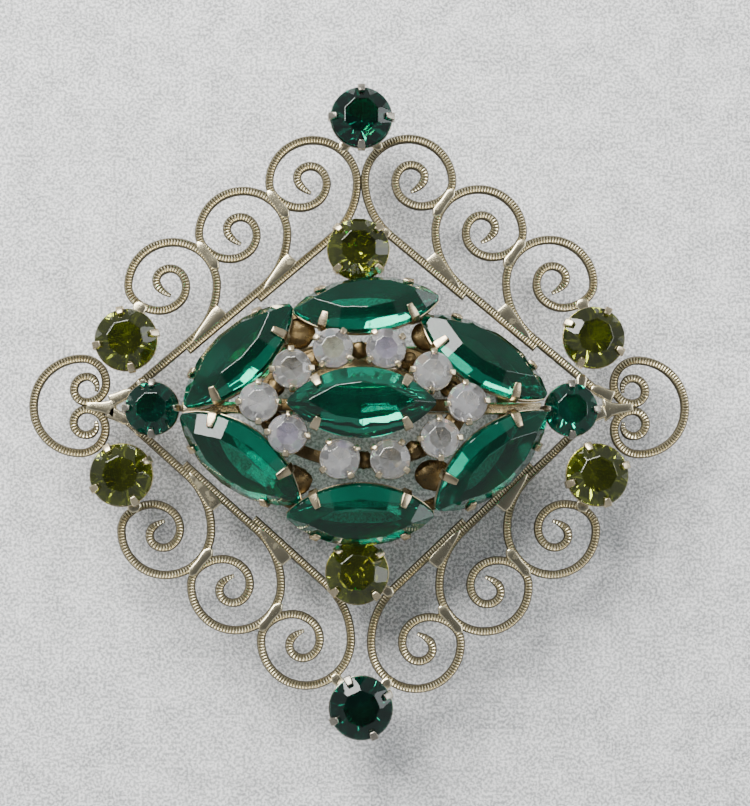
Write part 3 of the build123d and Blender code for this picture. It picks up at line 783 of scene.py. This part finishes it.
def cast_web(start, end, widths):
    """A smooth plate between two strips, with its widths at even steps from start to end."""
    start, end = Vector(start), Vector(end)
    length = (end - start).length
    web = open_block((length, 1, WEB_HEIGHT), (0, 0, WEB_HEIGHT / 2))
    steps = [length * (step / (len(widths) - 1) - 0.5) for step in range(len(widths))]
    for x in steps[1:-1]:
        cut_through((x, 0, 0), (1, 0, 0))
    for x, width in zip(steps, widths):
        pick_points(lambda co: abs(co.x - x) < NEAR)
        widen(y=width)
    round_edges(web, WEB_EDGE, 3, 50)
    turn = (end - start).angle_signed(Vector((1, 0)))
    middle = (start + end) / 2
    web.matrix_world = Matrix.Translation((middle.x, middle.y, 0)) @ Matrix.Rotation(turn, 4, "Z")
    return settle(web)


def scroll_place(number):
    """Middle of a panel's scroll, counted from the top."""
    return FIRST_SCROLL[0] + number * SCROLL_PITCH[0], FIRST_SCROLL[1] + number * SCROLL_PITCH[1]


def panel_webs():
    """The upper right panel's cast webs, before the panel is soldered in its place."""
    webs = []
    for number in range(len(TAIL_LENGTHS) - 1):
        x, y = scroll_place(number)
        for start, end, widths in SCROLL_WEBS:
            webs.append(cast_web((x + start[0], y + start[1]), (x + end[0], y + end[1]), widths))
    webs.extend(cast_web(*web) for web in OUTER_WEBS)
    return webs


def set_down(source, node, place):
    """Lay a copy of bent strips in a node's place; a mirrored copy is turned right side out."""
    copy = open_up(copy_to(source, place))
    if place.determinant() < 0:
        bpy.ops.mesh.flip_normals()
    clear_bench()
    hand_over(copy, node + "_milled", [node], finish("filigree"), smooth=38)


class BROOCH_OT_filigree(bpy.types.Operator):
    """Bend three milled scrolls, web them into a panel and set down its four copies"""

    bl_idname = "brooch.filigree"
    bl_label = "Filigree panels"

    def execute(self, context):
        tile = ridge_tile()
        parts = panel_webs()
        for number, tail_length in enumerate(TAIL_LENGTHS):
            strip = milled_strip(scroll_line(tail_length), tile)
            parts.append(copy_to(strip, Matrix.Translation((*scroll_place(number), 0))))
            discard(strip)
        quarter = join(parts)
        middle = Matrix.Translation(PANEL_MIDDLE)
        for name, (side_x, side_y, out_x, out_y, turn) in PANELS.items():
            soldered = Matrix.Translation((out_x, out_y, GRILLE_Z)) @ Matrix.Rotation(radians(turn), 4, "Z")
            side = Matrix.Diagonal((side_x, side_y, 1, 1))
            set_down(quarter, name, side @ middle @ soldered @ middle.inverted())
        discard(quarter, tile)
        return {"FINISHED"}


class BROOCH_OT_end_scrolls(bpy.types.Operator):
    """Bend the ram's-horn scroll at each side corner, with the leaf between its horns"""

    bl_idname = "brooch.end_scrolls"
    bl_label = "End scrolls"

    def execute(self, context):
        tile = ridge_tile()
        parts = [milled_strip(end_line(way), tile) for way in (1, -1)]
        x, y = END_CENTRE
        parts.append(cast_web((24.9, 0.05), (x - 0.5, y), (2.5, 1.5, 1.1, 1.0, 0.8)))
        scroll = join(parts)
        for side, name in ((1, "scroll_end_right"), (-1, "scroll_end_left")):
            mirror = Matrix.Diagonal((side, 1, 1, 1))
            set_down(scroll, name, mirror @ Matrix.Translation((0, 0, GRILLE_Z)))
        discard(scroll, tile)
        return {"FINISHED"}


# -------------------- stones
def cut_facet(distance, azimuth, angle, girdle, up):
    """Grind a flat that leans over the girdle, above it or below it."""
    out = Vector((cos(radians(azimuth)), sin(radians(azimuth)), 0))
    normal = out * sin(radians(angle)) + Vector((0, 0, up * cos(radians(angle))))
    place = out * distance + Vector((0, 0, up * girdle / 2))
    cut_through(place, normal, use_fill=True, clear_outer=True)


def polish(stone):
    """Take the sharpness off the facets' edges."""
    return round_edges(stone, mm(bpy.context.scene.brooch_stones.facet_edge), 1, 9)


def round_stone(radius):
    """A chaton: octagonal table, eight main and eight corner facets, and as many on the back."""
    crown = (1 - ROUND_TABLE) * radius * tan(radians(ROUND_CROWN_ANGLE))
    depth = radius * tan(radians(ROUND_PAVILION_ANGLE))
    top = ROUND_GIRDLE / 2 + crown
    bottom = -ROUND_GIRDLE / 2 - depth
    clear_bench()
    bpy.ops.mesh.primitive_cylinder_add(
        vertices=48, radius=radius, depth=top - bottom, location=(0, 0, (top + bottom) / 2)
    )
    stone = open_up(settle(bpy.context.object))
    for number in range(8):
        cut_facet(radius, 45 * number, ROUND_CROWN_ANGLE, ROUND_GIRDLE, 1)
        cut_facet(radius, 45 * number, ROUND_PAVILION_ANGLE, ROUND_GIRDLE, -1)
    for number in range(8):
        cut_facet(radius, 45 * number + 22.5, ROUND_CORNER_ANGLE, ROUND_GIRDLE, 1)
        cut_facet(radius, 45 * number + 22.5, ROUND_CORNER_ANGLE, ROUND_GIRDLE, -1)
    return stone


def foil_behind(stone, finish_number):
    """The painted foil on the back of a stone, a thin bowl just under its lower facets."""
    foil = copy_to(stone, Matrix.Scale(1.015, 4))
    open_up(foil)
    pick_faces(lambda normal: normal.z > -0.2)
    bpy.ops.mesh.delete(type="FACE")
    clear_bench()
    finish_with(foil, "SOLIDIFY", thickness=0.03, offset=1.0)
    foil.data.materials.clear()
    for number in range(finish_number + 1):
        foil.data.materials.append(None)
    for face in foil.data.polygons:
        face.material_index = finish_number
    return foil


def navette_outline(height):
    """The pointed oval as a closed line."""
    line = first_point(-NAVETTE_HALF_LENGTH, 0, height)
    draw_arc((0, -NAVETTE_ARC_OFFSET, height), NAVETTE_ARC_SWEEP)
    draw_arc((0, NAVETTE_ARC_OFFSET, height), NAVETTE_ARC_SWEEP)
    pick_all()
    bpy.ops.mesh.remove_doubles(threshold=0.01)
    return line


def navette_reach(off_side):
    return NAVETTE_ARC_RADIUS - NAVETTE_ARC_OFFSET * cos(radians(off_side))


def navette_stone():
    """An unfoiled navette: long table, side and point facets, and a keeled back."""
    depth = NAVETTE_HALF_WIDTH * tan(radians(NAVETTE_PAVILION_ANGLE))
    bottom = -NAVETTE_GIRDLE / 2 - depth
    stone = navette_outline(bottom)
    bpy.ops.mesh.edge_face_add()
    draw_on(z=depth + NAVETTE_GIRDLE + NAVETTE_CROWN_HEIGHT)
    face_outwards()
    for side in (90, 270):
        for off in NAVETTE_CROWN_AZIMUTHS:
            cut_facet(navette_reach(off), side + off, NAVETTE_CROWN_ANGLE, NAVETTE_GIRDLE, 1)
        for off in NAVETTE_PAVILION_AZIMUTHS:
            cut_facet(navette_reach(off), side + off, NAVETTE_PAVILION_ANGLE, NAVETTE_GIRDLE, -1)
    for end in (0, 180):
        cut_facet(NAVETTE_TIP, end, 90, 0, 1)
    return polish(stone)


def outer_place(where):
    """Where an outer navette sits: its long axis along its heading, leaning outwards."""
    x, y, heading = OUTER_NAVETTES[where]
    along = Vector((cos(radians(heading)), sin(radians(heading)), 0))
    outward = Vector((-along.y, along.x, 0))
    if outward.dot(Vector((x, y, 0))) < 0:
        outward = -outward
    normal = outward * sin(radians(OUTER_TILT)) + Vector((0, 0, cos(radians(OUTER_TILT))))
    turn = Matrix((along, normal.cross(along), normal)).transposed().to_4x4()
    return Matrix.Translation((x, y, OUTER_NAVETTE_Z)) @ turn


def navette_places():
    places = {where: outer_place(where) for where in OUTER_NAVETTES}
    places["centre"] = Matrix.Translation(CENTRE_NAVETTE)
    return places


def stone_place(node, girdle_up, turn):
    """Where a round stone sits: over the middle of its frame node, girdle_up from the node's lowest point."""
    low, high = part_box(node)
    middle = (low + high) / (2 * MM)
    spot = Matrix.Translation((middle.x, middle.y, low.z / MM + girdle_up))
    return spot @ Matrix.Rotation(radians(turn), 4, "Z")


def girdle_up(radius):
    return radius * tan(radians(ROUND_PAVILION_ANGLE)) + ROUND_GIRDLE / 2


def round_places():
    """Place and girdle radius of every olive and emerald round stone."""
    places = {}
    for where, turn in OLIVE_TURNS.items():
        places[f"olive_stone_{where}"] = (stone_place(f"olive_stone_{where}", girdle_up(SS29), turn), SS29)
    for where, turn in EMERALD_TURNS.items():
        radius = SS24 if where in SIDE_EMERALDS else SS29
        node = f"emerald_stone_{where}"
        places[node] = (stone_place(node, girdle_up(radius), turn), radius)
    return places


def crystal_places():
    nodes = [f"crystal_stone_{number:02d}" for number in range(1, len(CRYSTAL_TURNS) + 1)]
    return {node: stone_place(node, girdle_up(SS16), turn) for node, turn in zip(nodes, CRYSTAL_TURNS)}


class BROOCH_OT_navette_stones(bpy.types.Operator):
    """Cut the navette once and set a copy in each of its seven places"""

    bl_idname = "brooch.navette_stones"
    bl_label = "Navette stones"

    def execute(self, context):
        master = navette_stone()
        for where, place in navette_places().items():
            node = f"navette_stone_{where}"
            stone = copy_to(master, place)
            hand_over(stone, node + "_cut", [node], finish("emerald"), smooth=0)
        discard(master)
        return {"FINISHED"}


class BROOCH_OT_round_stones(bpy.types.Operator):
    """Cut the olive and emerald chatons, each with the foil on its back"""

    bl_idname = "brooch.round_stones"
    bl_label = "Round stones"

    def execute(self, context):
        masters = {}
        for radius in (SS29, SS24):
            plain = round_stone(radius)
            foil = foil_behind(plain, 1)
            masters[radius] = join([polish(plain), foil])
        for node, (place, radius) in round_places().items():
            stone = copy_to(masters[radius], place)
            olive = node.startswith("olive")
            green = "emerald_round" if radius == SS24 else "emerald_dark"
            glazing = finish("olive", "gold_foil") if olive else finish(green, "silver_foil")
            hand_over(stone, node + "_cut", [node], glazing, smooth=0)
        discard(*masters.values())
        return {"FINISHED"}


class BROOCH_OT_crystals(bpy.types.Operator):
    """Cut the small clear chatons and coat some of their facets"""

    bl_idname = "brooch.crystals"
    bl_label = "Clear stones"

    def execute(self, context):
        chance = random.Random(11)
        plain = round_stone(SS16)
        foil = foil_behind(plain, len(CRYSTAL_COATS) - 1)
        master = join([polish(plain), foil])
        for node, place in crystal_places().items():
            stone = copy_to(master, place)
            for face in stone.data.polygons:
                if face.material_index == 0 and face.normal.z > 0.3 and face.area > COATED_AREA:
                    face.material_index = chance.choices(range(len(COAT_SHARES)), COAT_SHARES)[0]
            hand_over(stone, node + "_cut", [node], finish(*CRYSTAL_COATS), smooth=0)
        discard(master)
        return {"FINISHED"}


# -------------------- settings
def bent_strip(side_view, width, tip_width):
    """A claw: a strip of sheet bent to a side view in x and z, narrower at its tip."""
    sizes = bpy.context.scene.brooch_claws
    x, z = side_view[0]
    claw = first_point(x, -width / 2, z)
    for next_x, next_z in side_view[1:]:
        draw_on(next_x - x, 0, next_z - z)
        x, z = next_x, next_z
    pick_all()
    draw_on(0, width, 0)
    pick_points(lambda co: abs(co.x - x) < NEAR and abs(co.z - z) < NEAR)
    widen(y=tip_width / width)
    face_outwards()
    finish_with(claw, "SOLIDIFY", thickness=mm(sizes.thickness), offset=0.0)
    return round_edges(claw, mm(sizes.edge), 3, 40)


def claw(girdle, crown_angle, grip, foot_in, width, tip_width):
    """A claw that stands on the wall of its cup, hugs the girdle at x = 0 and folds over the crown."""
    lean, rise = cos(radians(crown_angle)), sin(radians(crown_angle))
    gap = mm(bpy.context.scene.brooch_claws.thickness) / 2 + 0.03
    fold = (gap * (1 + rise) / 2, girdle / 2 + gap * lean)
    tip = (gap * rise - grip * lean, girdle / 2 + gap * lean + grip * rise)
    half_way = ((2 * fold[0] + tip[0]) / 3, (2 * fold[1] + tip[1]) / 3)
    return bent_strip(
        [(-foot_in, -1.3), (gap, -girdle / 2 - 0.35), (gap, girdle / 2 - 0.02), fold, half_way, tip],
        width,
        tip_width,
    )


def round_setting(radius, width, grip):
    """A chaton cup with four claws on its axes and a rolled rim."""
    base = CUP_BASE * radius
    floor = -CUP_DEPTH_SHARE * radius
    wall = mm(bpy.context.scene.brooch_claws.wall)
    flare = 0.35 * (radius - base)
    cup = first_point(base - wall / 2, 0, floor)
    draw_on(0, 0, 0.75)
    draw_on(flare, 0, 0.35)
    draw_on(radius + 0.05 - base - flare + wall / 2, 0, -floor - 1.1 - 0.42)
    pick_all()
    bpy.ops.mesh.spin(steps=40, angle=2 * pi, center=(0, 0, 0), axis=(0, 0, 1))
    pick_all()
    bpy.ops.mesh.remove_doubles(threshold=NEAR)
    face_outwards()
    finish_with(cup, "SOLIDIFY", thickness=wall, offset=0.0)
    round_edges(cup, 0.07, 2, 50)
    one = claw(ROUND_GIRDLE, ROUND_CROWN_ANGLE, grip, 0.4, width, 0.72 * width)
    places = [Matrix.Rotation(pi / 2 * n, 4, "Z") @ Matrix.Translation((radius, 0, 0)) for n in range(4)]
    claws = [copy_to(one, place) for place in places]
    discard(one)
    return join([cup, *claws])


def navette_setting():
    """An open-backed navette cup, waisted below its rim, with four claws near its points."""
    wall = mm(bpy.context.scene.brooch_claws.wall)
    lip = -NAVETTE_GIRDLE / 2 - 0.3
    cup = navette_outline(lip)
    pick_all()
    widen(x=0.99)
    for drop, share_x, share_y in ((0.25, 0.985, 0.97), (0.75, 0.94, 0.84), (1.0, 0.80, 0.68)):
        draw_on(z=-drop)
        widen(x=share_x, y=share_y, about=(0, 0, lip))
    face_outwards()
    finish_with(cup, "SOLIDIFY", thickness=wall, offset=-1.0)
    round_edges(cup, 0.06, 2, 55)
    one = claw(NAVETTE_GIRDLE, NAVETTE_CROWN_ANGLE, 1.35, 0.7, 0.9, 0.62)
    claws = []
    for side, arc_middle in ((90, -NAVETTE_ARC_OFFSET), (270, NAVETTE_ARC_OFFSET)):
        for off in NAVETTE_CLAW_AZIMUTHS:
            spot = Matrix.Translation((0, arc_middle, 0)) @ Matrix.Rotation(radians(side + off), 4, "Z")
            claws.append(copy_to(one, spot @ Matrix.Translation((NAVETTE_ARC_RADIUS, 0, 0))))
    discard(one)
    return join([cup, *claws])


class BROOCH_OT_navette_settings(bpy.types.Operator):
    """Make the navette setting once and set a copy under each navette"""

    bl_idname = "brooch.navette_settings"
    bl_label = "Navette settings"

    def execute(self, context):
        master = navette_setting()
        for where, place in navette_places().items():
            node = f"navette_setting_{where}"
            # Both platings darken lower down: painted shade, with some tarnish.
            plating = "cluster" if where == "centre" else "outer"
            hand_over(copy_to(master, place), node + "_bent", [node], finish(plating))
        discard(master)
        return {"FINISHED"}


class BROOCH_OT_round_settings(bpy.types.Operator):
    """Make the two sizes of chaton setting and set a copy under each round stone"""

    bl_idname = "brooch.round_settings"
    bl_label = "Round settings"

    def execute(self, context):
        masters = {SS29: round_setting(SS29, 0.78, 0.85), SS24: round_setting(SS24, 0.72, 0.75)}
        for stone_node, (place, radius) in round_places().items():
            node = stone_node.replace("_stone_", "_setting_")
            plating = "tarnished" if node.startswith("emerald") else "setting"
            setting = copy_to(masters[radius], place)
            hand_over(setting, node + "_bent", [node], finish(plating))
        discard(*masters.values())
        return {"FINISHED"}


class BROOCH_OT_crystal_settings(bpy.types.Operator):
    """Make the small claw cup and set a copy under each clear stone"""

    bl_idname = "brooch.crystal_settings"
    bl_label = "Clear stones' settings"

    def execute(self, context):
        master = round_setting(SS16, 0.62, 0.5)
        cups = join([copy_to(master, place) for place in crystal_places().values()])
        hand_over(cups, "crystal_settings_bent", ["crystal_settings"], finish("cluster"))
        discard(master)
        return {"FINISHED"}


# -------------------- hoop, cradle and pin back
def soften_node(node, edge, plating, body="frame", lumps=()):
    """A copy of a frame piece with its facets merged and its edges rounded, and the lumps on it: solder, and
    dark pools of painted shade.
    """
    take(frame["nodes"][node])
    bpy.ops.object.duplicate(linked=False)
    piece = bpy.context.object
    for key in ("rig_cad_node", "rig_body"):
        if key in piece:
            del piece[key]
    piece.parent = None
    piece.scale = (1 / MM, 1 / MM, 1 / MM)
    open_up(settle(piece))
    bpy.ops.mesh.remove_doubles(threshold=NEAR)
    bpy.ops.mesh.dissolve_limited(angle_limit=radians(1))
    round_edges(piece, edge, 3, 40)
    return hand_over(join([piece, *lumps]), node + "_eased", [node], finish(plating), body)


def uneven_lump(place, size, seed):
    """An uneven lump: hard solder run in between two settings, uneven as it froze; dark pools of painted
    shade in the gaps are made the same way.
    """
    clear_bench()
    bpy.ops.mesh.primitive_ico_sphere_add(subdivisions=3, radius=1.0, location=place)
    lump = open_up(bpy.context.object)
    widen(*size, about=place)
    bpy.ops.transform.vertex_random(offset=0.16, uniform=0.3, normal=0.7, seed=seed)
    bpy.ops.mesh.vertices_smooth(factor=0.5, repeat=1)
    return settle(lump)


def cradle_solder_and_shade_pools():
    """The solder that joins the clear stones' cups to each other, and dark pools in the gaps to the outer
    navettes' cups, painted shade where no light reaches.
    """
    cups = [place.translation for place in crystal_places().values()]
    cups.sort(key=lambda spot: spot.xy.angle_signed(Vector((1, 0))))
    lumps = []
    for number, (cup, neighbour) in enumerate(zip(cups, cups[1:] + cups[:1])):
        middle = (cup + neighbour) / 2
        if (cup - neighbour).length < SOLDER_REACH:
            place = (middle.x, middle.y, middle.z - SOLDER_DROP)
            lumps.append(uneven_lump(place, SOLDER_BEAD, number))
    # Dark pools in the gaps next to the outer navettes' cups: painted shade.
    for number, (x, y) in enumerate(SHADE_POOL_PLACES):
        lumps.append(uneven_lump((x, y, SHADE_POOL_Z), SHADE_POOL, number + len(cups)))
    return lumps


class BROOCH_OT_cluster_frame(bpy.types.Operator):
    """Ease the edges of the hoop, the cross bar and the cradle that hold the cluster"""

    bl_idname = "brooch.cluster_frame"
    bl_label = "Cluster frame"

    def execute(self, context):
        # The hoop and the cradle with its lumps take the frame gilt, painted dark as shade inside the
        # cluster.
        soften_node("cluster_hoop", 0.2, "frame")
        soften_node("cluster_cradle", 0.2, "frame", lumps=cradle_solder_and_shade_pools())
        soften_node("cross_bar", 0.2, "bar")
        return {"FINISHED"}


class BROOCH_OT_pin_back(bpy.types.Operator):
    """Ease the edges of the pin bar, joint, rivet, stem, catch and safety lock"""

    bl_idname = "brooch.pin_back"
    bl_label = "Pin back"

    def execute(self, context):
        for node, edge in (("pin_bar", 0.15), ("pin_joint", 0.12), ("catch", 0.1)):
            soften_node(node, edge, "pin_back")
        soften_node("hinge_rivet", 0.08, "steel")
        soften_node("pin_stem", 0.06, "steel", "pin")
        soften_node("safety_lock", 0.1, "pin_back", "lock")
        return {"FINISHED"}


# -------------------- stage
CAMERA_PLACE = (-0.00408, -0.01827, 0.200)
CAMERA_TURN = (5.58, -1.63, 0.0)
FLOOR_WIDTH = 3.0
KEY_PLACE = (-0.19, 0.30, 0.31)
KEY_WIDTH = 0.36
SIDE_PLACE = (0.50, 0.10, 0.32)
SIDE_WIDTH = 0.40
SIDE_SHARE = 0.25  # of the key light's power


def soft_light(name, place, size, power, colour):
    """A large square light that faces the brooch."""
    light = bpy.data.lights.new(name, "AREA")
    light.shape = "SQUARE"
    light.size = size
    light.energy = power
    light.color = colour
    lamp = bpy.data.objects.new(name, light)
    bpy.context.scene.collection.objects.link(lamp)
    lamp.location = place
    lamp.rotation_euler = Vector(place).to_track_quat("Z", "Y").to_euler()


def soft_sky(strength):
    """Even light from all round, less of it from straight overhead."""
    world = bpy.data.worlds.new("soft sky")
    bpy.context.scene.world = world
    world.use_nodes = True
    tree = world.node_tree
    sky = tree.nodes["Background"]
    sky.inputs["Strength"].default_value = strength
    overhead = ramp(tree, upward(tree, "Generated"), 0.80, 0.97)
    colour = mix_colour(tree, overhead, (0.93, 0.96, 1.0, 1), (0.16, 0.17, 0.19, 1))
    tree.links.new(colour, sky.inputs["Color"])


class BROOCH_OT_stage(bpy.types.Operator):
    """Set the camera, the soft lights and the floor"""

    bl_idname = "brooch.stage"
    bl_label = "Stage"

    def execute(self, context):
        sizes = context.scene.brooch_stage
        clear_bench()
        bpy.ops.mesh.primitive_plane_add(size=FLOOR_WIDTH)
        floor = bpy.context.object
        floor.name = "floor"
        floor.data.materials.append(paper_floor(tuple(sizes.floor_colour)))
        soft_light("key light", KEY_PLACE, KEY_WIDTH, sizes.key_power, (1.0, 0.99, 0.97))
        soft_light("side light", SIDE_PLACE, SIDE_WIDTH, SIDE_SHARE * sizes.key_power, (0.95, 0.97, 1.0))
        soft_sky(sizes.sky_strength)
        camera = bpy.data.objects.new("camera", bpy.data.cameras.new("camera"))
        camera.data.lens = sizes.lens
        camera.data.clip_start = 0.01
        camera.location = CAMERA_PLACE
        camera.rotation_euler = [radians(turn) for turn in CAMERA_TURN]
        context.scene.collection.objects.link(camera)
        context.scene.camera = camera
        return {"FINISHED"}


# -------------------- add-on
OPERATORS = (
    BROOCH_OT_filigree,
    BROOCH_OT_end_scrolls,
    BROOCH_OT_navette_stones,
    BROOCH_OT_navette_settings,
    BROOCH_OT_round_stones,
    BROOCH_OT_round_settings,
    BROOCH_OT_crystals,
    BROOCH_OT_crystal_settings,
    BROOCH_OT_cluster_frame,
    BROOCH_OT_pin_back,
    BROOCH_OT_stage,
)
SETTINGS = {
    "brooch_filigree": FiligreeSettings,
    "brooch_stones": StoneSettings,
    "brooch_claws": ClawSettings,
    "brooch_stage": StageSettings,
}


class BROOCH_PT_bench(bpy.types.Panel):
    """The brooch's sizes, and a button for each group of pieces"""

    bl_idname = "BROOCH_PT_bench"
    bl_label = "Brooch"
    bl_space_type = "VIEW_3D"
    bl_region_type = "UI"
    bl_category = "Brooch"

    def draw(self, context):
        for title, group in SETTINGS.items():
            box = self.layout.box()
            for name in group.__annotations__:
                box.prop(getattr(context.scene, title), name)
        for operator in OPERATORS:
            self.layout.operator(operator.bl_idname)


def register():
    for group in (*SETTINGS.values(), *OPERATORS, BROOCH_PT_bench):
        bpy.utils.register_class(group)
    for title, group in SETTINGS.items():
        setattr(bpy.types.Scene, title, bpy.props.PointerProperty(type=group))


def unregister():
    for title in SETTINGS:
        delattr(bpy.types.Scene, title)
    for group in reversed((*SETTINGS.values(), *OPERATORS, BROOCH_PT_bench)):
        bpy.utils.unregister_class(group)


def main():
    register()
    bpy.ops.brooch.filigree()
    bpy.ops.brooch.end_scrolls()
    bpy.ops.brooch.navette_stones()
    bpy.ops.brooch.navette_settings()
    bpy.ops.brooch.round_stones()
    bpy.ops.brooch.round_settings()
    bpy.ops.brooch.crystals()
    bpy.ops.brooch.crystal_settings()
    bpy.ops.brooch.cluster_frame()
    bpy.ops.brooch.pin_back()
    bpy.ops.brooch.stage()


if __name__ == "__main__":
    main()
